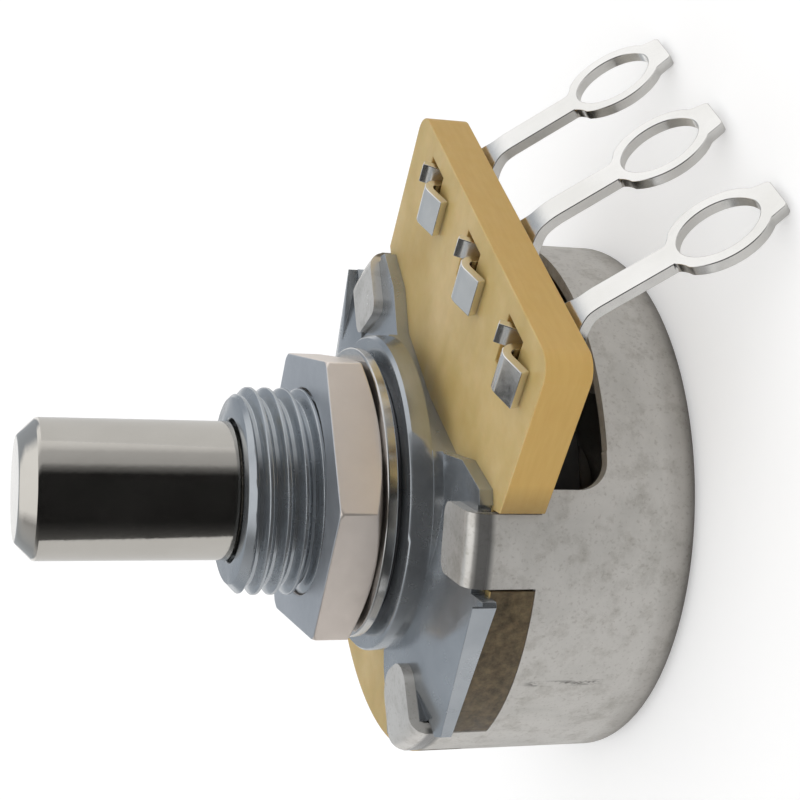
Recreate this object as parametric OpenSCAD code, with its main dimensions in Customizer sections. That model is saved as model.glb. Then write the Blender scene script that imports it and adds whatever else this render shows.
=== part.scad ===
// Rotary potentiometer, 24 mm can, solid shaft, three solder lugs.
// Millimetres. Z is the shaft's axis, pointing out of the bushing.
// The origin is the centre of the can's flat back. The terminals point towards -Y.

/* [Shaft] */
// Diameter of the shaft
shaft_d = 6.35; // [5:0.05:6.6]
// Length of the shaft in front of the panel seat
shaft_reach = 15.9; // [11:0.1:40]
// Chamfer at the shaft's tip
shaft_chamfer = 0.8; // [0.2:0.1:1.2]
// Step in radius down to the shaft's inner end, which drives the rotor
drive_step = 0.675; // [0.4:0.025:1]
// Depth of each of the drive end's two flats
flat_depth = 0.6; // [0.4:0.05:0.8]
// Radial clearance of the shaft in the bushing
shaft_clearance = 0.03; // [0.01:0.01:0.1]
// Depth of the shaft's relief groove at the bushing's mouth
relief_depth = 0.2; // [0.1:0.05:0.3]
// Width of that groove
relief_width = 0.6; // [0.55:0.05:1]

/* [Housing] */
// Thickness of the bushing's wall, from the bore's nominal diameter to the thread's crests
bushing_wall = 1.5875; // [1.4:0.0125:1.8]
// Length of the bushing in front of the panel seat
bushing_length = 6.35; // [5.5:0.05:10]
// Chamfer at the bushing's front edge
bushing_chamfer = 0.45; // [0.1:0.05:0.8]
// Width of the round boss around the thread, which seats on the panel
boss_rim = 2.6125; // [2.4:0.0125:2.8]
// Height of the boss above the plate
boss_height = 1; // [0.6:0.1:2]
// Thickness of the plate
plate_thickness = 1.05; // [0.9:0.05:2]
// Reach of each wing past the can's side
wing_overhang = 0.1; // [0.05:0.05:0.3]
// Half width of each wing's tongue on the terminals' side
tongue_near = 4.5; // [3.5:0.1:4.6]
// Half width of each wing's tongue on the far side
tongue_far = 3.3; // [2.5:0.1:3.6]
// Width of the plate at its waist
waist_width = 11.5; // [10:0.1:12.5]
// Depth of the shallow notch in the far side of the waist
waist_notch = 0.85; // [0.3:0.05:1.5]
// Depth of the sloping seat under the tabs beside the terminals
seat_drop = 0.45; // [0.1:0.05:0.5]
// Distance from the middle of the wing to the ridge where that slope starts
seat_ridge = 1.48; // [1:0.02:2]
// Drop of each wing's bevel at the middle of its outer edge
wing_bevel = 0.33; // [0.1:0.01:0.5]

/* [Panel hardware] */
// Width of the nut's ring between the thread and its flats
nut_wall = 1.4625; // [1.3:0.0125:1.8]
// Thickness of the nut
nut_thickness = 2.2; // [1.6:0.1:3]
// Height of the bevel at the nut's back corners
nut_bevel = 0.55; // [0.2:0.05:0.7]
// Turn of the nut about the shaft
nut_turn = -26.5; // [-30:0.5:30]
// Width of the flat washer beyond the thread
washer_rim = 1.9875; // [1.6:0.0125:2.2]
// Thickness of the flat washer
washer_thickness = 0.5; // [0.3:0.05:1]
// Width of the lock washer beyond the thread
lock_washer_rim = 1.3375; // [1.1:0.0125:1.6]
// Thickness of the lock washer
lock_washer_thickness = 0.34; // [0.2:0.02:0.6]
// Number of the lock washer's inner teeth
lock_washer_teeth = 10; // [6:1:12]

/* [Can] */
// Outer diameter of the can
can_d = 24; // [23.6:0.1:26]
// Height of the can from its back to its rim
can_height = 7.3; // [7:0.1:9]
// Thickness of the can's sheet
can_wall = 0.5; // [0.35:0.05:0.6]
// Outer radius of the can's back edge
can_edge = 0.9; // [0.7:0.1:1.5]
// Height of the window's lower edge above the can's back
window_sill = 4.35; // [3.5:0.05:5]
// Angle that the window spans
window_angle = 96; // [80:1:98]
// Corner radius of the window
window_corner = 1.2; // [0.5:0.1:1.4]
// Width of each folded tab
tab_width = 3.1; // [2:0.1:3.3]
// Reach of the tabs beside the terminals over the plate, from the can's side
near_tab_length = 3.25; // [2:0.05:3.6]
// Corner radius of those tabs
near_tab_corner = 0.6; // [0.2:0.1:1.4]
// Angle between those tabs and the wings' middle line
near_tab_angle = 29.7; // [29:0.1:31]
// Reach of the two far tabs over the plate, from the can's side
far_tab_length = 3.55; // [2:0.05:3.8]
// Corner radius of the far tabs
far_tab_corner = 1.2; // [0.2:0.1:1.4]
// Angle between the far tabs and the wings' middle line
far_tab_angle = 26.7; // [26:0.1:29]

/* [Terminal board] */
// Thickness of the board
board_thickness = 2; // [1.5:0.1:2.4]
// Width of the board beyond each outer terminal's middle
board_side = 3.6; // [3.2:0.1:3.9]
// Reach of the board's straight end past the can's side
board_overhang = 3; // [2.8:0.1:5]
// Corner radius of the board's straight end
board_corner = 1; // [0.3:0.1:2]
// Gap around the retaining ring in the board's centre hole
board_hole_gap = 0.625; // [0.3:0.025:0.7]
// Clearance between the board and the tabs
board_gap = 0.1; // [0.05:0.05:0.3]

/* [Terminals] */
// Spacing of the three terminals
terminal_pitch = 6.2; // [5.8:0.1:6.6]
// Distance from the can's side out to the middle of the row of slots
slot_offset = 0.9; // [0.8:0.05:1.1]
// Length of each slot along the terminal
slot_length = 2.3; // [2.2:0.05:2.5]
// Width of each slot across the terminal
slot_width = 1.9; // [1.8:0.05:2.1]
// Thickness of the terminals' sheet
terminal_sheet = 0.45; // [0.3:0.05:0.5]
// Width of a terminal at the board
terminal_base = 2.3; // [2.1:0.1:2.8]
// Width of a terminal's neck
neck_width = 1.7; // [1.2:0.1:2.2]
// Angle by which a terminal bends back
bend_angle = 53.5; // [30:0.5:60]
// Radius of that bend, at the middle of the sheet
bend_radius = 3.4; // [2:0.1:3.5]
// Length from the bend to the centre of the eyelet
eyelet_run = 4.3; // [3.6:0.05:4.4]
// Width of the eyelet's hole
eyelet_hole = 2.5; // [1.6:0.1:2.8]
// Width of the metal around that hole
eyelet_rim = 0.9; // [0.6:0.05:1]
// Length by which the hole is drawn out along the terminal
eyelet_stretch = 0.5; // [0.2:0.1:0.7]
// Width of the lip at the terminal's tip
tip_width = 2; // [1.2:0.1:2.4]
// Width of the long clinched leaf of each terminal
leaf_width = 1.75; // [1.2:0.05:1.9]
// Length of that leaf past its bend
leaf_length = 1.05; // [0.7:0.05:1.3]
// Width of the short leaf
short_leaf_width = 0.9; // [0.6:0.05:1.1]
// Height of the short leaf above the board
short_leaf_rise = 0.5; // [0.3:0.05:0.8]

/* [Rotor and contacts] */
// Gap between the rotor's disc and the can's side
rotor_gap = 1.7; // [1.2:0.1:2]
// Thickness of the rotor's disc
rotor_thickness = 1.4; // [1:0.1:1.8]
// Width of the hub around the drive end
hub_wall = 1.4; // [1:0.1:1.6]
// Angle that the rotor's stop lug spans
stop_lug_angle = 36; // [30:1:37]
// Width of the resistive track
track_width = 2.2; // [1.6:0.1:2.6]
// Distance from the can's inside to the middle of the track
track_inset = 2.9; // [2.7:0.1:3.2]
// Angle that the resistive track spans
track_angle = 300; // [270:1:304]
// Width of the collector ring
collector_width = 1.4; // [1:0.1:1.4]
// Thickness of the contact spring's sheet
spring_sheet = 0.25; // [0.15:0.05:0.3]

/* [Hidden] */
$fn = 96;

// Overshoot of a cut past the face that it opens
cut = 1;

// Diameters that follow from the shaft's
thread_d = shaft_d + 2 * bushing_wall;
boss_d = thread_d + 2 * boss_rim;
nut_flats = thread_d + 2 * nut_wall;
washer_d = thread_d + 2 * washer_rim;
lock_washer_d = thread_d + 2 * lock_washer_rim;
drive_d = shaft_d - 2 * drive_step;
drive_flats = drive_d - 2 * flat_depth;
hub_d = drive_d + 2 * hub_wall;

// Distances that follow from the can's diameter
can_inner = can_d / 2 - can_wall;
rotor_d = 2 * (can_inner - rotor_gap);
track_radius = can_inner - track_inset;
wing_edge = can_d / 2 + wing_overhang;
board_reach = can_d / 2 + board_overhang;
slot_row = can_d / 2 + slot_offset;

// Heights above the can's back, from the bottom up
board_back = can_height;
board_front = board_back + board_thickness;
plate_back = board_front;
plate_front = plate_back + plate_thickness;
seat = plate_front + boss_height;
bushing_front = seat + bushing_length;
shaft_tip = seat + shaft_reach;
washer_back = seat + lock_washer_thickness;
washer_front = washer_back + washer_thickness;
nut_front = washer_front + nut_thickness;
can_floor = can_wall;

// Fits and running gaps
thread_clearance = 0.03;
washer_clearance = 0.15;
drive_clearance = 0.02;
stack_gap = 0.05;
wing_gap = 0.15;
tab_side_gap = 0.3;
tab_bed_gap = 0.1;

// Foot left around the boss where the seats are cut, and small bevels of the boss and the nut
boss_foot = 0.05;
boss_bevel = 0.15;
nut_front_bevel = 0.15;

// Wings: turn of the seat's ridge, and how the outer bevel widens towards the far side
ridge_turn = 6.2;
bevel_rise = 0.22;
bevel_skew = 0.07;
guard_start = 1.8;

// Printed films and small sheets on the back of the board
film = 0.08;
collector_sheet = 0.3;
collector_arm = 2.4;

// Retaining ring and its groove
ring_sheet = 0.5;
ring_rim = 0.9;
groove_depth = 0.55;
ring_front = plate_back - stack_gap;
ring_back = ring_front - ring_sheet;
groove_d = shaft_d - 2 * groove_depth;
ring_d = shaft_d + 2 * ring_rim;
ring_opening = 60;

// Shaft's shoulder, on which the rotor's hub seats, and its relief groove
shoulder = ring_back - 0.45;
shaft_end = can_floor + stack_gap;
relief_front = bushing_front + stack_gap;
relief_back = relief_front - relief_width;

// Rotor
rotor_front = board_back - 1.3;
rotor_back = rotor_front - rotor_thickness;
hub_back = can_floor + 1.7;
stop_height = 1.4;
stop_d = 3.2;
stop_inset = 3.3;
stop_radius = can_inner - stop_inset;
stop_lug_in = stop_radius - stop_d / 2;
stop_lug_out = stop_radius + 1.3;
stop_lug_back = can_floor + stop_height / 2;

// Board's centre hole, and the collector ring around it
board_hole_d = ring_d + 2 * board_hole_gap;
collector_margin = 0.55;
collector_radius = board_hole_d / 2 + collector_margin + collector_width / 2;

// Contact spring
spring_top = rotor_front + spring_sheet;
spring_in = hub_d / 2 + 0.1;
spring_out = track_radius - track_width / 2 - 0.6;
wiper_top = board_back - film - stack_gap;
collector_top = board_back - collector_sheet - stack_gap;
wiper_start = 64;
wiper_prong = 0.7;
wiper_spread = 1.1;
arm_overlap = 0.5;
arm_side = 1.1;
arm_width = 1.5;
prong_root = 0.6;
prong_shift = 0.2;
collector_prong = 2.4;
collector_prong_width = 0.35;
contact_run = 0.55;
pin_d = 0.8;
pin_radius = (spring_in + spring_out) / 2;

// Folded tabs: inner bend radius, and the seat height that each pair lies on
tab_bend = 0.3;
tab_inset = 0.02;
low_seat = plate_front - seat_drop;
near_tab_end = can_d / 2 - near_tab_length;
far_tab_end = can_d / 2 - far_tab_length;

// Width of the rounded piece at each end of the window's cut, and the turn that it covers
window_end = 2 * window_corner + 0.6;
window_end_turn = atan(window_end * 0.55 / (can_d / 2));

// Terminals: the flat run lies under the board and its leaves pass up through the slot
sheet_mid = board_back - film - terminal_sheet / 2;
slot_clearance = 0.1;
slot_start = slot_row - slot_length / 2;
flat_start = slot_start - 0.35;
bend_start = slot_row + 1.3;
lip = 0.3;
lug_joint = 0.5;
eyelet_width = eyelet_hole + 2 * eyelet_rim;
eyelet_slot = eyelet_hole + eyelet_stretch;

// Clinched leaves: sheet, bend and the fall that brings the long one down onto the board
leaf_sheet = terminal_sheet - 0.05;
leaf_bend = 0.55;
leaf_touch = 0.02;
leaf_foot = slot_width / 2 - slot_clearance - leaf_sheet / 2;
leaf_spring = board_front + 0.05;
leaf_fall = acos((leaf_touch + board_front - leaf_spring) / norm([leaf_bend - leaf_sheet / 2, leaf_length]))
    - atan2(leaf_length, leaf_bend - leaf_sheet / 2);
short_leaf_lean = 30;

// Plan wedge from angle a to angle b, at most 300 degrees, reaching past radius r
module wedge(r, a, b) {
    steps = ceil((b - a) / 45);
    polygon(concat([[0, 0]],
        [for (i = [0 : steps]) 1.3 * r * [cos(a + (b - a) * i / steps), sin(a + (b - a) * i / steps)]]));
}

// Flat ring of inner radius r1 and outer radius r2 between two heights
module ring(r1, r2, z1, z2) {
    translate([0, 0, z1]) linear_extrude(z2 - z1) difference() {
        circle(r2);
        circle(r1);
    }
}

// Rectangle with rounded corners, centred
module rounded_rect(w, l, r) {
    square([w - 2 * r, l], center = true);
    square([w, l - 2 * r], center = true);
    for (x = [-1, 1], y = [-1, 1]) translate([x * (w / 2 - r), y * (l / 2 - r)]) circle(r, $fn = 32);
}

// All that lies above a sloping plane through a point, given its rise along X and along Y
module above_plane(point, rise_x, rise_y) {
    translate(point) rotate([0, atan(norm([rise_x, rise_y])), atan2(-rise_y, -rise_x)])
        translate([-can_d, -can_d, 0]) cube([2 * can_d, 2 * can_d, can_d / 5]);
}

module shaft() {
    r = shaft_d / 2;
    color("silver") {
        rotate_extrude() polygon([
            [0, shoulder], [r, shoulder], [r, ring_back - stack_gap], [groove_d / 2, ring_back - stack_gap],
            [groove_d / 2, ring_front + stack_gap / 2], [r, ring_front + stack_gap / 2],
            [r, relief_back], [r - relief_depth, relief_back], [r - relief_depth, relief_front],
            [r, relief_front], [r, shaft_tip - shaft_chamfer], [r - shaft_chamfer, shaft_tip],
            [0, shaft_tip]]);
        intersection() {
            translate([0, 0, shaft_end]) cylinder(d = drive_d, h = shoulder - shaft_end + 0.1);
            translate([-drive_flats / 2, -shaft_d, 0]) cube([drive_flats, 2 * shaft_d, seat]);
        }
    }
}

module retaining_ring() {
    color("dimgray") translate([0, 0, ring_back]) linear_extrude(ring_sheet) difference() {
        circle(d = ring_d);
        circle(d = groove_d + 2 * drive_clearance);
        wedge(ring_d, 90 - ring_opening / 2, 90 + ring_opening / 2);
    }
}

// Angles of the four tabs, the two near ones first
tab_angles = [-180 + near_tab_angle, -near_tab_angle, 180 - far_tab_angle, far_tab_angle];

// Plan of the plate: a waist, two flared wings and their tongues, clear of the tabs
module plate_plan() {
    near = waist_width / 2;
    far = near - waist_notch;
    difference() {
        for (x = [0, 1]) mirror([x, 0]) polygon([
            [0, -near], [boss_d * 0.3, -near * 1.06], [boss_d * 0.43, -near * 1.28],
            [can_d * 0.36, -near * 1.35], [wing_edge, -tongue_near], [wing_edge, tongue_far],
            [can_d * 0.342, near * 1.32], [boss_d * 0.39, near], [boss_d * 0.336, far], [0, far]]);
        for (a = tab_angles) rotate(a) translate([can_inner - wing_gap, -tab_width / 2 - tab_side_gap])
            square([can_wall * 6, tab_width + 2 * tab_side_gap]);
    }
}

// Material cut from one wing, on the +X side, so that the near tab lies lower than the far one
module near_seat_cut() {
    slope = seat_drop / (tongue_near - seat_ridge);
    difference() {
        union() {
            intersection() {
                above_plane([boss_d / 2, -seat_ridge, plate_front], -slope * tan(ridge_turn), slope);
                translate([0, -can_d / 2, low_seat - cut]) cube([can_d, can_d / 2, can_d / 4]);
            }
            rotate(-near_tab_angle) translate([near_tab_end - tab_bed_gap, -tab_width / 2 - tab_bed_gap,
                low_seat - cut]) cube([can_d, tab_width + 2 * tab_bed_gap, can_d / 4]);
        }
        translate([0, 0, low_seat - 2 * cut]) cylinder(d = boss_d + 2 * boss_foot, h = can_d);
        translate([0, -can_d, low_seat - can_d]) cube([can_d, can_d * 2, can_d]);
        // The tongue's outer strip stays high
        translate([0, 0, low_seat - 2 * cut]) linear_extrude(can_d) polygon([
            [wing_edge - guard_start, -seat_ridge / 2], [wing_edge + wing_overhang, -tongue_near * 1.09],
            [wing_edge + can_wall, -tongue_near * 1.09], [wing_edge + can_wall, can_wall],
            [wing_edge - guard_start, can_wall]]);
    }
}

// Bevel along one wing's outer edge, wider and deeper towards the far tab
module wing_bevel_cut() {
    difference() {
        above_plane([wing_edge, 0, plate_front - wing_bevel], -bevel_rise, -bevel_skew);
        translate([-can_d, -can_d, 0]) cube([can_d + boss_d / 2, 2 * can_d, can_d]);
        rotate(far_tab_angle) translate([0, -tab_width / 2 - tab_bed_gap, 0]) cube([can_d, can_d, can_d]);
    }
}

module housing() {
    color("slategray") difference() {
        union() {
            translate([0, 0, plate_back]) linear_extrude(plate_thickness) plate_plan();
            translate([0, 0, plate_front]) cylinder(d = boss_d, h = boss_height - boss_bevel);
            translate([0, 0, seat - boss_bevel])
                cylinder(d1 = boss_d, d2 = boss_d - 2 * boss_bevel, h = boss_bevel);
            translate([0, 0, seat - 0.1])
                cylinder(d = thread_d, h = bushing_length + 0.1 - bushing_chamfer);
            translate([0, 0, bushing_front - bushing_chamfer])
                cylinder(d1 = thread_d, d2 = thread_d - 2 * bushing_chamfer, h = bushing_chamfer);
        }
        translate([0, 0, plate_back - cut])
            cylinder(d = shaft_d + 2 * shaft_clearance, h = bushing_front - plate_back + 2 * cut);
        for (x = [0, 1]) mirror([x, 0, 0]) {
            near_seat_cut();
            wing_bevel_cut();
        }
    }
}

module lock_washer() {
    inner = thread_d / 2 + washer_clearance;
    tooth = lock_washer_rim * 0.37;
    color("dimgray") translate([0, 0, seat]) linear_extrude(lock_washer_thickness) {
        difference() {
            circle(d = lock_washer_d);
            circle(r = inner + tooth);
        }
        for (i = [0 : lock_washer_teeth - 1]) rotate(i * 360 / lock_washer_teeth)
            polygon([[inner, -0.45], [inner + tooth + 0.2, -0.7], [inner + tooth + 0.2, 0.7], [inner, 0.45]]);
    }
}

module flat_washer() {
    color("lightgray")
        ring(thread_d / 2 + washer_clearance, washer_d / 2, washer_back, washer_front);
}

module hex_nut() {
    corner = nut_flats / sqrt(3);
    face = nut_flats / 2 - nut_front_bevel;
    grow = (corner - face) / nut_bevel;
    color("tan") difference() {
        intersection() {
            translate([0, 0, washer_front]) rotate(nut_turn) cylinder(r = corner, h = nut_thickness, $fn = 6);
            translate([0, 0, washer_front])
                cylinder(r1 = face, r2 = face + grow * nut_thickness, h = nut_thickness);
            translate([0, 0, washer_front]) cylinder(r1 = corner + nut_thickness - nut_front_bevel,
                r2 = corner - nut_front_bevel, h = nut_thickness);
        }
        translate([0, 0, washer_front - cut])
            cylinder(d = thread_d + 2 * thread_clearance, h = nut_thickness + 2 * cut);
    }
}

// One tab, on the +X side: it rises from the can's wall and folds inwards over the plate
module tab(fold, end, corner) {
    outer = can_d / 2 - tab_inset;
    sheet = can_wall - 2 * tab_inset;
    bend = tab_bend + sheet;
    intersection() {
        rotate_extrude() {
            translate([outer - sheet, board_back - 1]) square([sheet, fold - tab_bend - board_back + 1]);
            translate([outer - bend, fold - tab_bend]) intersection() {
                difference() {
                    circle(bend, $fn = 48);
                    circle(tab_bend, $fn = 48);
                }
                translate([-0.1, -0.1]) square(2 * bend);
            }
            translate([end - 1, fold]) square([outer - bend - end + 1, sheet]);
        }
        // Plan of the tab, with its free end rounded
        translate([end + can_d / 2, 0, 0]) linear_extrude(seat) rounded_rect(can_d, tab_width, corner);
    }
}

// Window in the can's wall, behind the terminals, with rounded lower corners
module window_cut() {
    half = window_angle / 2;
    top = can_height - window_sill + cut;
    translate([0, 0, window_sill]) linear_extrude(top) difference() {
        wedge(can_d / 2, -90 - half + window_end_turn, -90 + half - window_end_turn);
        circle(can_inner - cut);
    }
    for (s = [-1, 1]) rotate(-90 + s * half) translate([can_inner - cut, 0, window_sill + 0.03])
        rotate([90, 0, 90]) linear_extrude(can_wall + 2 * cut) mirror([s < 0 ? 1 : 0, 0]) {
            translate([-window_end, window_corner]) square([window_end, top - window_corner]);
            translate([-window_end, 0]) square([window_end - window_corner, top]);
            translate([-window_corner, window_corner]) circle(window_corner, $fn = 48);
        }
}

// Half section of a cup with a rounded bottom edge
module cup_section(r, h, edge) {
    square([r - edge, h]);
    translate([0, edge]) square([r, h - edge]);
    translate([r - edge, edge]) circle(edge, $fn = 64);
}

module can() {
    color("gainsboro") {
        difference() {
            union() {
                rotate_extrude() difference() {
                    cup_section(can_d / 2, can_height, can_edge);
                    translate([0, can_wall]) cup_section(can_inner, can_height, can_edge - can_wall);
                }
                translate([0, -stop_radius, can_wall / 2]) cylinder(d = stop_d, h = can_wall / 2 + stop_height);
            }
            window_cut();
            translate([0, -stop_radius, -cut]) cylinder(d = stop_d - 2 * can_wall, h = cut + stop_height);
        }
        for (i = [0, 1]) rotate([0, 0, tab_angles[i]]) tab(low_seat, near_tab_end, near_tab_corner);
        for (i = [2, 3]) rotate([0, 0, tab_angles[i]]) tab(plate_front, far_tab_end, far_tab_corner);
    }
}

// Plan of the board: a disc that rests on the can's rim, and its terminal end
module board_plan() {
    difference() {
        union() {
            circle(d = can_d);
            translate([0, -board_reach / 2])
                rounded_rect(2 * (terminal_pitch + board_side), board_reach, board_corner);
        }
        circle(d = board_hole_d);
        for (a = tab_angles) rotate(a) translate([can_inner - board_gap, -tab_width / 2 - board_gap])
            square([can_d, tab_width + 2 * board_gap]);
        for (x = [-1, 0, 1]) translate([x * terminal_pitch, -slot_row])
            square([slot_width, slot_length], center = true);
    }
}

module terminal_board() {
    color("peru") translate([0, 0, board_back]) linear_extrude(board_thickness) board_plan();
}

// Outline of the lug in its own plane, from the bend to the tip
module lug_plan() {
    tip = eyelet_run + eyelet_width / 2 + lip;
    difference() {
        union() {
            polygon([[-terminal_base / 2 + 0.15, lug_joint / 2], [terminal_base / 2 - 0.15, lug_joint / 2],
                [neck_width / 2, eyelet_run * 0.45], [neck_width / 2, eyelet_run],
                [-neck_width / 2, eyelet_run], [-neck_width / 2, eyelet_run * 0.45]]);
            translate([0, eyelet_run]) circle(d = eyelet_width, $fn = 64);
            translate([-tip_width / 2, eyelet_run]) square([tip_width, tip - eyelet_run]);
            // Shoulders that widen from the neck into the eyelet
            polygon([[-neck_width / 2, eyelet_run - eyelet_width * 0.68],
                [neck_width / 2, eyelet_run - eyelet_width * 0.68],
                [eyelet_width * 0.36, eyelet_run - eyelet_width * 0.33],
                [-eyelet_width * 0.36, eyelet_run - eyelet_width * 0.33]]);
        }
        translate([0, eyelet_run]) {
            for (s = [-1, 1]) translate([0, s * (eyelet_slot - eyelet_hole) / 2])
                circle(d = eyelet_hole, $fn = 64);
            square([eyelet_hole, eyelet_slot - eyelet_hole], center = true);
        }
    }
}

// Section of the long leaf, across the row: up through the slot, over and down onto the board
module long_leaf_section() {
    steps = 8;
    middle = leaf_foot + leaf_bend;
    function arc_point(r, a) = [middle - r * cos(a), leaf_spring + r * sin(a)];
    function end_point(r) = arc_point(r, 90 + leaf_fall) + leaf_length * [cos(leaf_fall), -sin(leaf_fall)];
    outer = leaf_bend + leaf_sheet / 2;
    inner = leaf_bend - leaf_sheet / 2;
    turn = 90 + leaf_fall;
    polygon(concat([[middle - outer, sheet_mid]],
        [for (i = [0 : steps]) arc_point(outer, turn * i / steps)],
        [end_point(outer), end_point(inner)],
        [for (i = [steps : -1 : 0]) arc_point(inner, turn * i / steps)],
        [[middle - inner, sheet_mid]]));
}

// Section of the short leaf: up through the slot, then leaning away from the long one
module short_leaf_section() {
    t = leaf_sheet;
    face = 0.1;
    lean = [sin(short_leaf_lean), cos(short_leaf_lean)];
    knee = [face + t, board_front - 0.05];
    tip = knee + short_leaf_rise * lean;
    polygon([[face, sheet_mid], [face + t, sheet_mid], knee, tip, tip + t * [-lean[1], lean[0]],
        [face, board_front + 0.05]]);
}

// Side profile of a terminal: flat run, bend, and the start of the lug
module strip_profile() {
    t = terminal_sheet;
    steps = 9;
    function bend_point(r, a) = [-bend_start - r * sin(a), sheet_mid - bend_radius + r * cos(a)];
    function lug_point(r) = bend_point(r, bend_angle) - lug_joint * [cos(bend_angle), sin(bend_angle)];
    outer = bend_radius + t / 2;
    inner = bend_radius - t / 2;
    polygon(concat([[-flat_start, sheet_mid - t / 2], [-flat_start, sheet_mid + t / 2]],
        [for (i = [0 : steps]) bend_point(outer, bend_angle * i / steps)],
        [lug_point(outer), lug_point(inner)],
        [for (i = [steps : -1 : 0]) bend_point(inner, bend_angle * i / steps)]));
}

module terminal(x) {
    t = terminal_sheet;
    leaf_in = -slot_start - 0.15;
    leaf_out = -slot_start - slot_length + 0.1;
    color("lightgray") translate([x, 0, 0]) {
        rotate([90, 0, 90]) translate([0, 0, -terminal_base / 2]) linear_extrude(terminal_base)
            strip_profile();
        translate([0, leaf_in, 0]) rotate([90, 0, 0]) linear_extrude(leaf_width) mirror([1, 0])
            long_leaf_section();
        translate([0, leaf_out + short_leaf_width, 0]) rotate([90, 0, 0]) linear_extrude(short_leaf_width)
            short_leaf_section();
        translate([0, -bend_start, sheet_mid - bend_radius]) rotate([bend_angle, 0, 0])
            translate([0, 0, bend_radius - t / 2]) mirror([0, 1, 0]) linear_extrude(t) lug_plan();
    }
}

module resistive_track() {
    a = 90 - track_angle / 2;
    color("#222222") translate([0, 0, board_back - film]) linear_extrude(film) intersection() {
        difference() {
            circle(track_radius + track_width / 2);
            circle(track_radius - track_width / 2);
        }
        union() {
            wedge(can_d, a, 90);
            wedge(can_d, 90, 180 - a);
        }
    }
}

// Printed pad from one end of the track to an outer terminal; side is 1 or -1
module end_pad(side) {
    a = 90 - track_angle / 2;
    mid = [track_radius * cos(a), track_radius * sin(a)];
    w = track_width / 2;
    half = terminal_base / 2;
    end = -slot_start + 0.05;
    color("whitesmoke") translate([0, 0, board_back - film]) linear_extrude(film) mirror([side < 0 ? 1 : 0, 0])
        difference() {
            polygon([mid + w * [cos(a), sin(a)], mid - w * [cos(a), sin(a)],
                [terminal_pitch - half, end + 0.3], [terminal_pitch - half, end],
                [terminal_pitch + half, end], [terminal_pitch + half, end + 0.3]]);
            wedge(can_d, a, a + 90);
        }
}

module collector_ring() {
    color("goldenrod") translate([0, 0, board_back - collector_sheet]) linear_extrude(collector_sheet)
        difference() {
            union() {
                circle(collector_radius + collector_width / 2);
                translate([-collector_arm / 2, -flat_start]) square([collector_arm, flat_start - collector_radius]);
            }
            circle(collector_radius - collector_width / 2);
        }
}

module rotor() {
    color("#1a1a1a") {
        difference() {
            union() {
                translate([0, 0, rotor_back]) cylinder(d = rotor_d, h = rotor_thickness);
                translate([0, 0, hub_back]) cylinder(d = hub_d, h = shoulder - hub_back);
                // Stop lug on the disc's back
                translate([0, 0, stop_lug_back]) linear_extrude(rotor_back - stop_lug_back + 0.1)
                    intersection() {
                        difference() {
                            circle(stop_lug_out);
                            circle(stop_lug_in);
                        }
                        wedge(can_d, 90 - stop_lug_angle / 2, 90 + stop_lug_angle / 2);
                    }
            }
            translate([0, 0, hub_back - cut]) linear_extrude(can_d) intersection() {
                circle(d = drive_d + 2 * drive_clearance);
                square([drive_flats + 2 * drive_clearance, drive_d * 2], center = true);
            }
        }
        // Two moulded pins that locate the contact spring
        for (x = [-1, 1]) translate([x * pin_radius, 0, rotor_front - 0.1])
            cylinder(d = pin_d, h = spring_sheet + 0.25, $fn = 32);
    }
}

// One springy prong: it rises along its length and ends in a rounded contact
module spring_prong(length, top, width) {
    rise = top - spring_top;
    translate([0, width / 2, 0]) rotate([90, 0, 0]) linear_extrude(width) polygon([
        [-prong_root, rotor_front], [0, rotor_front], [length - contact_run, top - spring_sheet * 1.4],
        [length, top - spring_sheet * 2.2], [length + spring_sheet, top - spring_sheet * 1.6],
        [length - spring_sheet * 0.6, top], [length - contact_run, top], [0, top - rise],
        [-prong_root, top - rise]]);
}

module contact_spring() {
    color("darkgoldenrod") {
        difference() {
            ring(spring_in, spring_out, rotor_front, spring_top);
            for (x = [-1, 1]) translate([x * pin_radius, 0, 0]) cylinder(d = pin_d + 0.06, h = can_d, $fn = 32);
        }
        // Arm out to the track, with two prongs along it
        rotate([0, 0, wiper_start]) {
            translate([spring_out - arm_overlap, -arm_side, rotor_front])
                cube([track_radius + wiper_spread - spring_out + arm_overlap, arm_width, spring_sheet]);
            for (r = [-1, 1]) translate([track_radius + r * wiper_spread / 2, prong_shift, 0]) rotate([0, 0, 98])
                spring_prong(track_radius * sin(90 - wiper_start), wiper_top, wiper_prong);
        }
        // Two prongs onto the collector ring
        rotate([0, 0, 240]) for (r = [-1, 1])
            translate([collector_radius + r * 0.3, 0, 0]) rotate([0, 0, 98 + r * 3])
                spring_prong(collector_prong, collector_top, collector_prong_width);
    }
}

shaft();
retaining_ring();
housing();
lock_washer();
flat_washer();
hex_nut();
can();
terminal_board();
terminal(terminal_pitch);  // terminal_1
terminal(0);  // terminal_2
terminal(-terminal_pitch);  // terminal_3
resistive_track();
end_pad(1);  // end_pad_1
end_pad(-1);  // end_pad_3
collector_ring();
rotor();
contact_spring();
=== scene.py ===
import math

import bmesh
import bpy
from mathutils import Matrix, Vector


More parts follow.
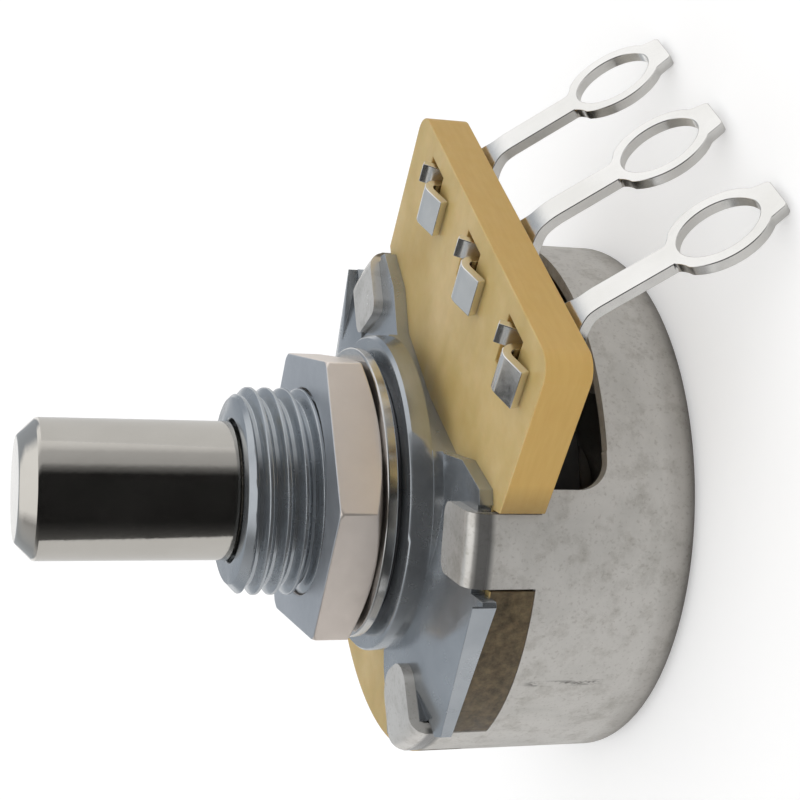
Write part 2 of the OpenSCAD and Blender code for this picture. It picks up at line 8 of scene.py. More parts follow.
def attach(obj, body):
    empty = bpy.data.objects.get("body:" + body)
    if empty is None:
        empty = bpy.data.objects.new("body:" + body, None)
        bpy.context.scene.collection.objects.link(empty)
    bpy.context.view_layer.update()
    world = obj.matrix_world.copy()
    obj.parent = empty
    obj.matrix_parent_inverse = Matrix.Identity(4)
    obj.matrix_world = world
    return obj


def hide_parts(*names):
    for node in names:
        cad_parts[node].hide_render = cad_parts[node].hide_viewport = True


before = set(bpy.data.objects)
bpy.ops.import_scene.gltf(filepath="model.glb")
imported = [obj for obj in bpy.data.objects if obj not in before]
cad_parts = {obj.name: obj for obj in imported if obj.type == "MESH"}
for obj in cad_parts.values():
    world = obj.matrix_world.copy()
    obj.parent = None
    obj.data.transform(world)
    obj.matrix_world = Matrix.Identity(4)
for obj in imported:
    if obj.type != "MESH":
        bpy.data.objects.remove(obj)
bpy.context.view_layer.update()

MM = 0.001

# Heights above the can's back and sizes that repeat the part's own, in millimetres
SEAT = 11.35
BUSHING_FRONT = 17.7
THREAD_RADIUS = 4.7625
THREAD_PITCH = 25.4 / 32
THREAD_DEPTH = 0.47
BORE_RADIUS = 3.205
BOARD_FRONT = 9.3
NUT_FRONT = 14.39
CAN_RADIUS = 12
TAB_STEP = 0.02
WALL_FRONT = 7.3
SCUFF_Y = 0.2
SCUFF_Z = 5

HOUSING_BODY = "housing_body"
ROTOR_BODY = "rotor_body"


# Camera

def add_camera():
    """The photograph's own view: the shaft points left, so the camera is rolled on its side."""
    right = Vector((-0.228166, -0.211860, -0.950292))
    up = Vector((0.619375, -0.784657, 0.026220))
    back = Vector((-0.751209, -0.582605, 0.310253))
    place = Vector((-53.0512, -46.6535, 32.5899)) * MM
    data = bpy.data.cameras.new("camera")
    data.sensor_width = 36
    data.lens = 70.4766
    data.clip_start = 0.005
    camera = bpy.data.objects.new("camera", data)
    bpy.context.scene.collection.objects.link(camera)
    rows = [(right[i], up[i], back[i], place[i]) for i in range(3)]
    camera.matrix_world = Matrix(rows + [(0, 0, 0, 1)])
    bpy.context.scene.camera = camera


# Node helpers

class Nodes:
    """Short calls for building one node tree."""

    def __init__(self, name):
        self.material = bpy.data.materials.new(name)
        self.material.use_nodes = True
        self.tree = self.material.node_tree
        self.shader = self.tree.nodes["Principled BSDF"]
        self.place = self.tree.nodes.new("ShaderNodeTexCoord").outputs["Object"]

    def link(self, output, target):
        self.tree.links.new(output, target)

    def set(self, **values):
        for key, value in values.items():
            name = key.replace("_", " ")
            socket = next(s for s in self.shader.inputs if s.name.lower() == name)
            socket.default_value = value

    def scaled(self, factors, turn=(0, 0, 0)):
        node = self.tree.nodes.new("ShaderNodeMapping")
        node.inputs["Scale"].default_value = factors
        node.inputs["Rotation"].default_value = turn
        self.link(self.place, node.inputs["Vector"])
        return node.outputs["Vector"]

    def axes(self):
        node = self.tree.nodes.new("ShaderNodeSeparateXYZ")
        self.link(self.place, node.inputs["Vector"])
        return node.outputs["X"], node.outputs["Y"], node.outputs["Z"]

    def radius(self):
        x, y, z = self.axes()
        squares = self.math("ADD", self.math("MULTIPLY", x, x), self.math("MULTIPLY", y, y))
        return self.math("SQRT", squares, 0)

    def noise(self, scale, detail=4, rough=0.55, vector=None, distort=0):
        node = self.tree.nodes.new("ShaderNodeTexNoise")
        node.inputs["Scale"].default_value = scale
        node.inputs["Detail"].default_value = detail
        node.inputs["Roughness"].default_value = rough
        node.inputs["Distortion"].default_value = distort
        self.link(vector or self.place, node.inputs["Vector"])
        return node.outputs["Fac"]

    def ramp(self, value, stops):
        node = self.tree.nodes.new("ShaderNodeValToRGB")
        ramp = node.color_ramp
        while len(ramp.elements) < len(stops):
            ramp.elements.new(0.5)
        for element, (place, colour) in zip(ramp.elements, stops):
            element.position = place
            element.color = (*colour, 1)
        self.link(value, node.inputs["Fac"])
        return node.outputs["Color"]

    def span(self, value, low, high, out_low, out_high):
        node = self.tree.nodes.new("ShaderNodeMapRange")
        for name, number in zip(("From Min", "From Max", "To Min", "To Max"), (low, high, out_low, out_high)):
            node.inputs[name].default_value = number
        self.link(value, node.inputs["Value"])
        return node.outputs["Result"]

    def math(self, kind, a, b):
        node = self.tree.nodes.new("ShaderNodeMath")
        node.operation = kind
        for i, value in enumerate((a, b)):
            if isinstance(value, (int, float)):
                node.inputs[i].default_value = value
            else:
                self.link(value, node.inputs[i])
        return node.outputs["Value"]

    def mix(self, amount, a, b, kind="MIX"):
        node = self.tree.nodes.new("ShaderNodeMix")
        node.data_type = "RGBA"
        node.blend_type = kind
        sockets = [node.inputs[0], node.inputs[6], node.inputs[7]]
        for socket, value in zip(sockets, (amount, a, b)):
            if isinstance(value, (int, float)):
                socket.default_value = value
            elif isinstance(value, tuple):
                socket.default_value = (*value, 1)
            else:
                self.link(value, socket)
        return node.outputs[2]

    def colour(self, output):
        self.link(output, self.shader.inputs["Base Color"])

    def roughness(self, output):
        self.link(output, self.shader.inputs["Roughness"])

    def bump(self, height, distance, strength=1):
        node = self.tree.nodes.new("ShaderNodeBump")
        node.inputs["Strength"].default_value = strength
        node.inputs["Distance"].default_value = distance
        self.link(height, node.inputs["Height"])
        self.link(node.outputs["Normal"], self.shader.inputs["Normal"])


# Materials

def metal(name, dark, light, rough, drift=260, grain=1500, bump_height=0.000002, metallic=1.0):
    """A plated metal: two tones that drift, uneven gloss and a fine grain."""
    n = Nodes(name)
    n.set(metallic=metallic)
    cloud = n.noise(drift, detail=5, rough=0.6)
    n.colour(n.ramp(cloud, [(0.3, dark), (0.7, light)]))
    fine = n.noise(grain, detail=3)
    n.roughness(n.span(n.math("ADD", cloud, fine), 0.7, 1.3, rough[0], rough[1]))
    n.bump(fine, bump_height)
    return n.material


def shaft_nickel():
    return metal("shaft_nickel", (0.6, 0.575, 0.53), (0.66, 0.635, 0.59), (0.07, 0.13), grain=4200,
                 bump_height=0.0000022)


def nut_nickel():
    """Warm bright flats and a cooler, darker front face: painted reflection, one nickel plating given a different
    tone on each kind of face.
    """
    n = Nodes("nut_nickel")
    n.set(metallic=0.78)
    cloud = n.noise(300, detail=5, rough=0.6)
    fine = n.noise(2600, detail=3)
    # Painted reflection: the flats get a warm bright tone, and the front face a darker, cooler one.
    flats = n.ramp(cloud, [(0.3, (0.84, 0.755, 0.69)), (0.7, (0.93, 0.845, 0.775))])
    ends = n.ramp(cloud, [(0.3, (0.48, 0.51, 0.55)), (0.7, (0.57, 0.6, 0.64))])
    x, y, z = n.axes()
    front = n.span(z, (NUT_FRONT - 0.05) * MM, (NUT_FRONT - 0.01) * MM, 0, 1)
    n.colour(n.mix(front, flats, ends))
    n.roughness(n.span(n.math("ADD", cloud, fine), 0.7, 1.3, 0.3, 0.42))
    n.bump(fine, 0.000002)
    return n.material


def zinc_casting():
    return metal("zinc_casting", (0.38, 0.41, 0.44), (0.52, 0.55, 0.58), (0.17, 0.3), grain=1300,
                 bump_height=0.0000012, metallic=0.88)


def washer_steel():
    return metal("washer_steel", (0.58, 0.58, 0.58), (0.7, 0.7, 0.69), (0.14, 0.24))


def spring_steel():
    return metal("spring_steel", (0.22, 0.22, 0.23), (0.36, 0.36, 0.37), (0.25, 0.4), grain=1800)


def tinned_sheet():
    return metal("tinned_sheet", (0.82, 0.81, 0.78), (0.93, 0.92, 0.9), (0.14, 0.26), grain=2000,
                 bump_height=0.000003)


def contact_bronze():
    return metal("contact_bronze", (0.55, 0.36, 0.17), (0.7, 0.48, 0.25), (0.22, 0.35))


def silver_film():
    return metal("silver_film", (0.6, 0.6, 0.57), (0.72, 0.72, 0.7), (0.35, 0.5), grain=2500)


def can_steel():
    """Drawn, dull-plated steel: soft blotches, faint specks, one scuffed spot and tabs burnished by folding, with
    painted shade along the back edge and at the tabs' folds.
    """
    n = Nodes("can_steel")
    n.set(metallic=0.55)
    blotch = n.noise(260, detail=6, rough=0.65, distort=0.4)
    patch = n.noise(900, detail=5, rough=0.7)
    specks = n.noise(6500, detail=2, rough=0.5)
    tone = n.ramp(blotch, [(0.25, (0.58, 0.565, 0.53)), (0.5, (0.7, 0.68, 0.645)), (0.8, (0.79, 0.77, 0.735))])
    stain_and_shade = n.ramp(patch, [(0.3, (0.78, 0.77, 0.75)), (0.5, (1, 1, 1))])
    marks = n.ramp(specks, [(0.3, (0.86, 0.85, 0.84)), (0.42, (1, 1, 1))])
    tone = n.mix(1.0, n.mix(1.0, tone, stain_and_shade, "MULTIPLY"), marks, "MULTIPLY")
    x, y, z = n.axes()
    scratch = n.noise(2600, detail=3, rough=0.7, vector=n.scaled((1, 1, 0.4)))
    off_line = n.math("ABSOLUTE", n.math("SUBTRACT", y, SCUFF_Y * MM), 0)
    off_middle = n.math("ABSOLUTE", n.math("SUBTRACT", z, SCUFF_Z * MM), 0)
    spot = n.math("MULTIPLY", n.span(off_line, 0.05 * MM, 0.22 * MM, 1, 0), n.span(x, -8 * MM, -9 * MM, 0, 1))
    spot = n.math("MULTIPLY", spot, n.span(off_middle, 1.4 * MM, 1.9 * MM, 1, 0))
    spot = n.math("MULTIPLY", spot, n.span(scratch, 0.46, 0.56, 0, 0.8))
    # Painted shade: the colour darkens towards the can's back edge, over the first 3 mm above the back.
    back_edge_shade = n.ramp(n.span(z, 0, 3 * MM, 0, 1), [(0.1, (0.4, 0.39, 0.38)), (0.3, (0.75, 0.74, 0.73)), (0.6, (1, 1, 1))])
    tone = n.mix(1.0, tone, back_edge_shade, "MULTIPLY")
    # Painted shade: a dark band on the outer wall where the tabs fold over, between 9.25 and 10.15 mm up.
    fold_shade = n.math("MULTIPLY", n.span(z, 9.25 * MM, 9.5 * MM, 0, 0.8), n.span(z, 9.95 * MM, 10.15 * MM, 1, 0))
    fold_shade = n.math("MULTIPLY", fold_shade, n.span(n.radius(), 11.7 * MM, 11.8 * MM, 0, 1))
    tone = n.mix(fold_shade, tone, (0.1, 0.1, 0.1))
    n.colour(n.mix(spot, tone, (0.14, 0.13, 0.12)))
    fold = n.span(z, 9.35 * MM, 9.6 * MM, 0, 1)
    dull = n.span(blotch, 0.3, 0.75, 0.5, 0.64)
    n.roughness(n.math("MULTIPLY", dull, n.math("SUBTRACT", 1, n.math("MULTIPLY", fold, 0.55))))
    n.bump(n.math("ADD", patch, n.math("MULTIPLY", specks, 0.4)), 0.000008)
    return n.material


def phenolic():
    """Tan paper laminate: cloudy face, browner layered edges, and painted shade that turns the rim near black on the
    disc part.
    """
    n = Nodes("phenolic")
    cloud = n.noise(170, detail=6, rough=0.62)
    fibre = n.noise(1500, detail=3, vector=n.scaled((1, 0.25, 1), (0, 0, 0.5)))
    layers = n.noise(5000, detail=3, vector=n.scaled((0.12, 0.12, 1)))
    face = n.ramp(cloud, [(0.28, (0.44, 0.3, 0.08)), (0.5, (0.53, 0.39, 0.15)), (0.72, (0.66, 0.5, 0.25))])
    face = n.mix(0.18, face, n.ramp(fibre, [(0.3, (0.48, 0.32, 0.1)), (0.7, (0.68, 0.52, 0.25))]))
    edge = n.ramp(layers, [(0.3, (0.52, 0.325, 0.088)), (0.7, (0.55, 0.352, 0.103))])
    x, y, z = n.axes()
    # Painted shade: the edge colour turns near black for y above about -7 mm, where the rim sits between plate and
    # can.
    stain_and_shade = n.span(y, -9 * MM, -6 * MM, 0, 0.96)
    rim_shade = n.ramp(n.noise(2400, detail=4, rough=0.7), [(0.3, (0.02, 0.014, 0.007)), (0.7, (0.13, 0.095, 0.05))])
    edge = n.mix(stain_and_shade, edge, rim_shade)
    top = n.span(z, (BOARD_FRONT - 0.06) * MM, (BOARD_FRONT - 0.02) * MM, 0, 1)
    n.colour(n.mix(top, edge, face))
    n.roughness(n.span(fibre, 0.3, 0.7, 0.38, 0.52))
    n.set(subsurface_weight=0.1, subsurface_scale=0.0005)
    n.bump(n.math("ADD", cloud, fibre), 0.000008)
    return n.material


def moulded_black():
    n = Nodes("moulded_black")
    cloud = n.noise(600, detail=4)
    n.colour(n.ramp(cloud, [(0.3, (0.012, 0.012, 0.012)), (0.7, (0.03, 0.029, 0.028))]))
    n.roughness(n.span(cloud, 0.3, 0.7, 0.35, 0.55))
    n.bump(n.noise(3000, detail=2), 0.000004)
    return n.material


def carbon_film():
    n = Nodes("carbon_film")
    cloud = n.noise(1400, detail=4)
    n.colour(n.ramp(cloud, [(0.3, (0.01, 0.01, 0.011)), (0.7, (0.024, 0.024, 0.026))]))
    n.roughness(n.span(cloud, 0.3, 0.7, 0.4, 0.6))
    n.bump(cloud, 0.000003)
    return n.material


# Mesh helpers

def welded_copy(node):
    """A bmesh of a CAD node with its faces joined up and its flat areas merged."""
    bm = bmesh.new()
    bm.from_mesh(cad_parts[node].data)
    bmesh.ops.remove_doubles(bm, verts=bm.verts, dist=0.000001)
    bmesh.ops.dissolve_limit(bm, angle_limit=math.radians(0.5), verts=bm.verts, edges=bm.edges)
    return bm


def on_tab_root(vert):
    """Whether a vertex lies on the circle where the can's outer wall ends and its tabs begin."""
    radius = math.hypot(vert.co.x, vert.co.y)
    return abs(radius - CAN_RADIUS * MM) < TAB_STEP * MM / 2 and abs(vert.co.z - WALL_FRONT * MM) < TAB_STEP * MM / 2


def flush_can():
    """The can with its tabs' outer faces moved out by their 0.02 mm step and stitched to the wall."""
    bm = bmesh.new()
    bm.from_mesh(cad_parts["can"].data)
    bmesh.ops.remove_doubles(bm, verts=bm.verts, dist=0.000001)
    for vert in bm.verts:
        radius = math.hypot(vert.co.x, vert.co.y)
        if abs(radius - (CAN_RADIUS - TAB_STEP) * MM) < 0.3 * TAB_STEP * MM:
            vert.co.x *= CAN_RADIUS * MM / radius
            vert.co.y *= CAN_RADIUS * MM / radius
    ledges = [face for face in bm.faces if all(on_tab_root(vert) for vert in face.verts)]
    bmesh.ops.delete(bm, geom=ledges, context="FACES")
    open_edges = [edge for edge in bm.edges if edge.is_boundary and all(on_tab_root(v) for v in edge.verts)]
    turns = {}
    for edge in open_edges:
        for vert in edge.verts:
            turns[vert] = math.atan2(vert.co.y, vert.co.x)
    for edge in open_edges:
        start, end = sorted(edge.verts, key=lambda vert: turns[vert])
        between = sorted((turn, vert) for vert, turn in turns.items()
                         if turns[start] + 0.0001 < turn < turns[end] - 0.0001)
        if turns[end] - turns[start] > 1:
            continue
        for turn, vert in between:
            edge, new = bmesh.utils.edge_split(edge, start, 0.5)
            new.co = vert.co
            start = new
            edge = next(e for e in new.link_edges if end in e.verts)
    bmesh.ops.remove_doubles(bm, verts=bm.verts, dist=0.000001)
    bmesh.ops.dissolve_limit(bm, angle_limit=math.radians(0.5), verts=bm.verts, edges=bm.edges)
    return bm


def add_piece(name, bm, material, bevel=None, limit=30, segments=2, smooth=35):
    """Makes the object, with rounded edges and smooth shading across shallow ones."""
    mesh = bpy.data.meshes.new(name)
    bm.to_mesh(mesh)
    bm.free()
    piece = bpy.data.objects.new(name, mesh)
    bpy.context.scene.collection.objects.link(piece)
    mesh.materials.append(material)
    if bevel:
        edge = piece.modifiers.new("edge", "BEVEL")
        edge.width = bevel * MM
        edge.segments = segments
        edge.limit_method = "ANGLE"
        edge.angle_limit = math.radians(limit)
        edge.use_clamp_overlap = True
    level = piece.modifiers.new("level", "WEIGHTED_NORMAL")
    level.keep_sharp = True
    for face in mesh.polygons:
        face.use_smooth = True
    mesh.set_sharp_from_angle(angle=math.radians(smooth))
    return piece


def dress(node, body, slot, material, bevel=None, bm=None, **options):
    """A CAD node's own shape with softened edges, standing for the node."""
    piece = add_piece("look_" + node, bm or welded_copy(node), material, bevel, **options)
    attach(piece, body)
    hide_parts(node)
    return piece


# Threaded bushing

THREAD_COLUMNS = 144
ROWS_PER_PITCH = 28
MOUTH_BEVEL = 0.14
FRONT_BEVEL = 0.5


def thread_radius(height, turn):
    """Radius of the thread's surface at a height in millimetres and a turn in whole revolutions."""
    phase = (height / THREAD_PITCH - turn) % 1.0
    away = abs(2 * phase - 1)
    slope = min(1.0, max(0.0, (away - 0.16) / 0.62))
    rounded = slope * slope * (3 - 2 * slope)
    depth = THREAD_DEPTH * (0.45 * slope + 0.55 * rounded)
    start = min(1.0, max(0.0, (height - SEAT - 0.1) / 0.4))
    radius = THREAD_RADIUS - depth * start
    bevel = THREAD_RADIUS - FRONT_BEVEL + (BUSHING_FRONT - height)
    return min(radius, bevel)


def loop_at(bm, radius, height):
    """Open edges of the mesh that lie on one circle."""
    found = []
    for edge in bm.edges:
        if not edge.is_boundary:
            continue
        ends = [(v.co.x ** 2 + v.co.y ** 2) ** 0.5 / MM for v in edge.verts]
        level = [abs(v.co.z / MM - height) < 0.01 for v in edge.verts]
        if all(level) and all(abs(e - radius) < 0.05 for e in ends):
            found.append(edge)
    return found


def ring_of(bm, radius, height):
    verts = []
    for i in range(THREAD_COLUMNS):
        a = 2 * math.pi * i / THREAD_COLUMNS
        r = radius(height, i / THREAD_COLUMNS) if callable(radius) else radius
        verts.append(bm.verts.new((r * MM * math.cos(a), r * MM * math.sin(a), height * MM)))
    return verts


def join_rings(bm, lower, upper):
    count = len(lower)
    for i in range(count):
        j = (i + 1) % count
        bm.faces.new((lower[i], lower[j], upper[j], upper[i]))


def threaded_housing():
    """The housing with the plain bushing cut off above the seat and a threaded one grown there."""
    bm = bmesh.new()
    bm.from_mesh(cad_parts["housing"].data)
    bmesh.ops.remove_doubles(bm, verts=bm.verts, dist=0.000001)
    base = SEAT + 0.06
    everything = bm.verts[:] + bm.edges[:] + bm.faces[:]
    bmesh.ops.bisect_plane(bm, geom=everything, dist=0.0000001, plane_co=(0, 0, base * MM),
                           plane_no=(0, 0, 1), clear_outer=True)
    bmesh.ops.dissolve_limit(bm, angle_limit=math.radians(0.5), verts=bm.verts, edges=bm.edges)
    outer_loop = loop_at(bm, THREAD_RADIUS, base)
    inner_loop = loop_at(bm, BORE_RADIUS, base)
    rows = int((BUSHING_FRONT - base) / THREAD_PITCH * ROWS_PER_PITCH)
    rings = [ring_of(bm, THREAD_RADIUS - 0.03, base)]
    for k in range(1, rows + 1):
        height = base + (BUSHING_FRONT - base) * k / rows
        rings.append(ring_of(bm, thread_radius, height))
    rings.append(ring_of(bm, BORE_RADIUS + MOUTH_BEVEL, BUSHING_FRONT))
    rings.append(ring_of(bm, BORE_RADIUS + 0.02, BUSHING_FRONT - MOUTH_BEVEL))
    rings.append(ring_of(bm, BORE_RADIUS + 0.02, base))
    for lower, upper in zip(rings, rings[1:]):
        join_rings(bm, lower, upper)
    bm.edges.ensure_lookup_table()
    first = [bm.edges.get((rings[0][i], rings[0][(i + 1) % THREAD_COLUMNS])) for i in range(THREAD_COLUMNS)]
    last = [bm.edges.get((rings[-1][i], rings[-1][(i + 1) % THREAD_COLUMNS])) for i in range(THREAD_COLUMNS)]
    bmesh.ops.triangle_fill(bm, use_beauty=True, edges=outer_loop + first)
    bmesh.ops.triangle_fill(bm, use_beauty=True, edges=inner_loop + last)
    bmesh.ops.recalc_face_normals(bm, faces=bm.faces)
    return bm


# Solder lugs

LUG_START = 14.02
LUG_SHEET = 0.5
LUG_MIDDLE = 6.995
LUG_BASE = 2.3
LUG_NECK = 1.25
LUG_HOLE = (3.5, 2.7)
LUG_RIM = 0.52
LUG_TIP = 1.8
LUG_LIP = 0.35
TERMINAL_PITCH = 6.2


def lug_path(bends, length):
    """Places along the middle of the sheet: distance, y, z and slope, past each (radius, degrees) bend."""
    step = 0.02
    y, z, slope, reach = -LUG_START, LUG_MIDDLE, 0.0, 0.0
    places = [(reach, y, z, slope)]
    for radius, degrees in bends:
        count = round(radius * math.radians(degrees) / step)
        for _ in range(count):
            slope += math.radians(degrees) / count
            y -= math.cos(slope) * step
            z -= math.sin(slope) * step
            reach += step
            places.append((reach, y, z, slope))
    rest = length - reach
    places.append((length, y - math.cos(slope) * rest, z - math.sin(slope) * rest, slope))
    return places


def along(places, reach):
    """The path's y, z and slope at one distance."""
    for (r0, y0, z0, a0), (r1, y1, z1, a1) in zip(places, places[1:]):
        if reach <= r1:
            t = (reach - r0) / (r1 - r0)
            return y0 + (y1 - y0) * t, z0 + (z1 - z0) * t, a0 + (a1 - a0) * t
    return places[-1][1:]


def ring_half(reach, centre):
    """Half width of the eyelet's outline at a distance along the lug."""
    long_half = LUG_HOLE[0] / 2 + LUG_RIM
    wide_half = LUG_HOLE[1] / 2 + LUG_RIM
    t = (reach - centre) / long_half
    return wide_half * math.sqrt(max(0.0, 1 - t * t))


def lug_sides(centre):
    """Half widths of the lug from the board to its tip, at growing distances."""
    long_half = LUG_HOLE[0] / 2 + LUG_RIM
    wide_half = LUG_HOLE[1] / 2 + LUG_RIM
    join = centre - long_half * math.sqrt(1 - (LUG_NECK / 2 / wide_half) ** 2)
    blend = 0.4
    sides = []
    count = 40
    for i in range(count + 1):
        reach = (join - blend) * i / count
        taper = min(1.0, reach / 1.3)
        taper = taper * taper * (3 - 2 * taper)
        sides.append((reach, (LUG_BASE + (LUG_NECK - LUG_BASE) * taper) / 2))
    for i in range(1, 9):
        reach = join - blend + 2 * blend * i / 8
        t = (i / 8) ** 2
        sides.append((reach, LUG_NECK / 2 * (1 - t) + max(ring_half(reach, centre), LUG_NECK / 2) * t))
    end = centre + long_half
    for i in range(1, 30):
        reach = join + blend + (end - join - blend) * i / 30
        half = ring_half(reach, centre)
        if reach > centre and half < LUG_TIP / 2:
            break
        sides.append((reach, half))
    sides.append((end + LUG_LIP - 0.12, LUG_TIP / 2))
    sides.append((end + LUG_LIP, LUG_TIP / 2 - 0.12))
    return sides, count


def terminal_mesh(index, bends, centre):
    """The CAD terminal's clinched root, with its lug drawn anew as one curved strip and an oval eyelet."""
    x_middle = (2 - index) * TERMINAL_PITCH
    bm = welded_copy("terminal_%d" % index)
    everything = bm.verts[:] + bm.edges[:] + bm.faces[:]
    bmesh.ops.bisect_plane(bm, geom=everything, dist=0.0000001, plane_co=(0, -LUG_START * MM, 0),
                           plane_no=(0, -1, 0), clear_outer=True)
    root_loop = [e for e in bm.edges if e.is_boundary]

    sides, strip = lug_sides(centre)
    plan = bmesh.new()
    left = [plan.verts.new((half, reach, 0)) for reach, half in sides]
    right = [plan.verts.new((-half, reach, 0)) for reach, half in sides]
    for i in range(strip):
        plan.faces.new((left[i], left[i + 1], right[i + 1], right[i]))
    outline = left[strip:] + right[strip:][::-1]
    edges = []
    for i in range(len(outline)):
        pair = (outline[i], outline[(i + 1) % len(outline)])
        edges.append(plan.edges.get(pair) or plan.edges.new(pair))
    points = 48
    hole = []
    for i in range(points):
        a = 2 * math.pi * i / points
        hole.append(plan.verts.new((LUG_HOLE[1] / 2 * math.sin(a), centre + LUG_HOLE[0] / 2 * math.cos(a), 0)))
    for i in range(points):
        edges.append(plan.edges.new((hole[i], hole[(i + 1) % points])))
    bmesh.ops.triangle_fill(plan, use_beauty=True, edges=edges)
    plan.verts.index_update()

    places = lug_path(bends, sides[-1][0])
    levels = []
    for height in (LUG_SHEET / 2, -LUG_SHEET / 2):
        row = []
        for vert in plan.verts:
            y, z, slope = along(places, vert.co.y)
            row.append(bm.verts.new(((x_middle + vert.co.x) * MM, (y - math.sin(slope) * height) * MM,
                                     (z + math.cos(slope) * height) * MM)))
        levels.append(row)
    for face in plan.faces:
        corners = [v.index for v in face.verts]
        bm.faces.new([levels[0][i] for i in corners])
        bm.faces.new([levels[1][i] for i in reversed(corners)])
    first = {left[0].index, right[0].index}
    for edge in plan.edges:
        ends = [v.index for v in edge.verts]
        if edge.is_boundary and set(ends) != first:
            a, b = ends
            bm.faces.new((levels[0][a], levels[0][b], levels[1][b], levels[1][a]))
    corners = [levels[0][left[0].index], levels[0][right[0].index], levels[1][right[0].index],
               levels[1][left[0].index]]
    lug_loop = []
    for i in range(4):
        pair = (corners[i], corners[(i + 1) % 4])
        lug_loop.append(bm.edges.get(pair) or bm.edges.new(pair))
    plan.free()
    bmesh.ops.translate(bm, verts=[v for row in levels for v in row], vec=(0, -0.02 * MM, 0))
    bmesh.ops.bridge_loops(bm, edges=root_loop + lug_loop)
    bmesh.ops.recalc_face_normals(bm, faces=bm.faces)
    return bm


# Floor and light

def floor_material():
    n = Nodes("pale_floor")
    n.set(roughness=0.8)
    grain = n.noise(60, detail=3)
    n.colour(n.ramp(grain, [(0.3, (0.65, 0.65, 0.65)), (0.7, (0.67, 0.67, 0.67))]))
    path = n.tree.nodes.new("ShaderNodeLightPath")
    n.set(emission_color=(1, 1, 1, 1))
    seen = n.math("MULTIPLY", path.outputs["Is Camera Ray"], 0.4)
    shown = n.math("MULTIPLY", path.outputs["Is Glossy Ray"], 0.06)
    n.link(n.math("ADD", seen, shown), n.shader.inputs["Emission Strength"])
    return n.material


FLOOR_NEAR = 21
FLOOR_REACH = 700


def add_floor():
    """A pale sheet that starts just out of sight in front of the can, so metal faces the open room."""
    towards = Matrix.Rotation(math.radians(GAP_TURN), 4, "Z")
    corners = [(FLOOR_NEAR, -FLOOR_REACH), (FLOOR_NEAR, FLOOR_REACH), (-FLOOR_REACH, FLOOR_REACH),
               (-FLOOR_REACH, -FLOOR_REACH)]
    bm = bmesh.new()
    bm.faces.new([bm.verts.new(towards @ Vector((x * MM, y * MM, 0))) for x, y in corners])
    mesh = bpy.data.meshes.new("floor")
    bm.to_mesh(mesh)
    bm.free()
    floor = bpy.data.objects.new("floor", mesh)
    bpy.context.scene.collection.objects.link(floor)
    mesh.materials.append(floor_material())


# The white room's tones: a dark gap on the camera's side and a blue-grey card far behind, above the floor
GAP_TURN = -142.2
GAP_TONES = [(-160, 1), (-135, 0.75), (-118, 0.52), (-104, 0.26), (-88, 0.1), (-62, 0.03), (-50, 0.01),
             (28, 0.01), (40, 0.18), (46, 0.42), (66, 0.5), (76, 0.75), (100, 1)]
GAP_HEIGHTS = [(-1, 1), (0.84, 1), (0.93, 0)]
CARD_TONES = [(-60, (1, 1, 1)), (-46, (0.36, 0.39, 0.43)), (40, (0.45, 0.48, 0.51)), (70, (1, 1, 1))]
CARD_HEIGHTS = [(0.09, 0), (0.15, 1), (0.82, 1), (0.93, 0)]


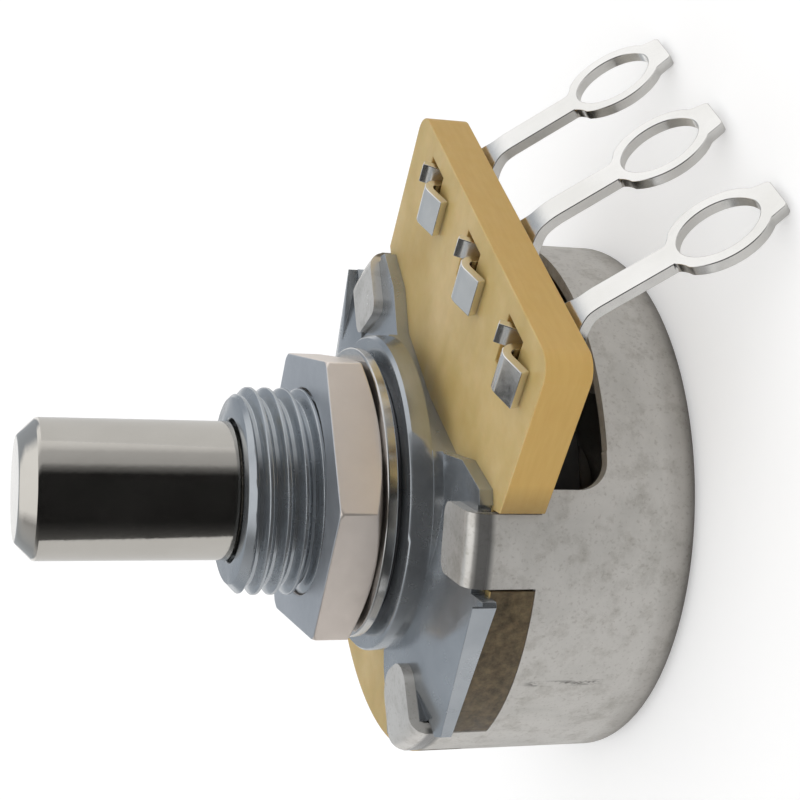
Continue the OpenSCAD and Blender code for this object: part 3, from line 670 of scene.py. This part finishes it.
def add_world():
    """The room as metal shows it, and plain white to the camera and to everything else."""
    world = bpy.data.worlds.new("studio")
    bpy.context.scene.world = world
    world.use_nodes = True
    tree = world.node_tree
    tree.nodes.clear()

    def node(kind, **settings):
        made = tree.nodes.new(kind)
        for key, value in settings.items():
            setattr(made, key, value)
        return made

    def ramp(value, stops, low, high):
        made = node("ShaderNodeValToRGB")
        elements = made.color_ramp.elements
        while len(elements) < len(stops):
            elements.new(0.5)
        for element, (place, tone) in zip(elements, stops):
            element.position = (place - low) / (high - low)
            element.color = (*tone, 1) if isinstance(tone, tuple) else (tone, tone, tone, 1)
        part = node("ShaderNodeMapRange")
        part.inputs["From Min"].default_value = low
        part.inputs["From Max"].default_value = high
        tree.links.new(value, part.inputs["Value"])
        tree.links.new(part.outputs["Result"], made.inputs["Fac"])
        return made.outputs["Color"]

    def zone(towards, tones, heights):
        """Tones by the turn, in degrees, away from one direction, between some heights."""
        turned = node("ShaderNodeVectorRotate", rotation_type="Z_AXIS")
        turned.inputs["Angle"].default_value = math.radians(-towards)
        axes = node("ShaderNodeSeparateXYZ")
        turn = node("ShaderNodeMath", operation="ARCTAN2")
        degrees = node("ShaderNodeMath", operation="DEGREES")
        mixed = node("ShaderNodeMix", data_type="RGBA")
        mixed.inputs[6].default_value = (1, 1, 1, 1)
        tree.links.new(where, turned.inputs["Vector"])
        tree.links.new(turned.outputs["Vector"], axes.inputs["Vector"])
        tree.links.new(axes.outputs["Y"], turn.inputs[0])
        tree.links.new(axes.outputs["X"], turn.inputs[1])
        tree.links.new(turn.outputs["Value"], degrees.inputs[0])
        tree.links.new(ramp(axes.outputs["Z"], heights, -1, 1), mixed.inputs[0])
        tree.links.new(ramp(degrees.outputs["Value"], tones, -180, 180), mixed.inputs[7])
        return mixed.outputs[2]

    where = node("ShaderNodeTexCoord").outputs["Generated"]
    both = node("ShaderNodeMix", data_type="RGBA", blend_type="MULTIPLY")
    both.inputs[0].default_value = 1
    tree.links.new(zone(GAP_TURN, GAP_TONES, GAP_HEIGHTS), both.inputs[6])
    tree.links.new(zone(GAP_TURN + 180, CARD_TONES, CARD_HEIGHTS), both.inputs[7])
    room = node("ShaderNodeBackground")
    white = node("ShaderNodeBackground")
    white.inputs["Color"].default_value = (1, 1, 1, 1)
    path = node("ShaderNodeLightPath")
    choice = node("ShaderNodeMixShader")
    out = node("ShaderNodeOutputWorld")
    tree.links.new(both.outputs[2], room.inputs["Color"])
    tree.links.new(path.outputs["Is Glossy Ray"], choice.inputs["Fac"])
    tree.links.new(white.outputs["Background"], choice.inputs[1])
    tree.links.new(room.outputs["Background"], choice.inputs[2])
    tree.links.new(choice.outputs["Shader"], out.inputs["Surface"])


add_camera()
add_floor()
add_world()

tinned = tinned_sheet()
bronze = contact_bronze()
silver = silver_film()
steel = spring_steel()

dress("shaft", ROTOR_BODY, "shaft_nickel", shaft_nickel(), bevel=0.12)
dress("retaining_ring", ROTOR_BODY, "spring_steel", steel, bevel=0.05)
dress("housing", HOUSING_BODY, "zinc_casting", zinc_casting(), bevel=0.05, limit=50, bm=threaded_housing())
dress("lock_washer", HOUSING_BODY, "spring_steel", steel, bevel=0.04)
dress("flat_washer", HOUSING_BODY, "washer_steel", washer_steel(), bevel=0.08)
dress("hex_nut", HOUSING_BODY, "nut_nickel", nut_nickel(), bevel=0.07)
dress("can", HOUSING_BODY, "can_steel", can_steel(), bm=flush_can())
dress("terminal_board", HOUSING_BODY, "phenolic", phenolic(), bevel=0.05)
LUG_BENDS = {1: ((1.4, 29), (3.2, 20)), 2: ((1.4, 18), (3.2, 31)), 3: ((1.4, 29), (3.2, 20))}
for index, bends in LUG_BENDS.items():
    dress("terminal_%d" % index, HOUSING_BODY, "tinned_sheet", tinned, bevel=0.05,
          bm=terminal_mesh(index, bends, 7.1))
dress("resistive_track", HOUSING_BODY, "carbon_film", carbon_film(), bevel=0.01)
dress("end_pad_1", HOUSING_BODY, "silver_film", silver, bevel=0.01)
dress("end_pad_3", HOUSING_BODY, "silver_film", silver, bevel=0.01)
dress("collector_ring", HOUSING_BODY, "contact_bronze", bronze, bevel=0.04)
dress("rotor", ROTOR_BODY, "moulded_black", moulded_black(), bevel=0.1)
dress("contact_spring", ROTOR_BODY, "contact_bronze", bronze)

scene = bpy.context.scene
scene.view_settings.view_transform = "Standard"
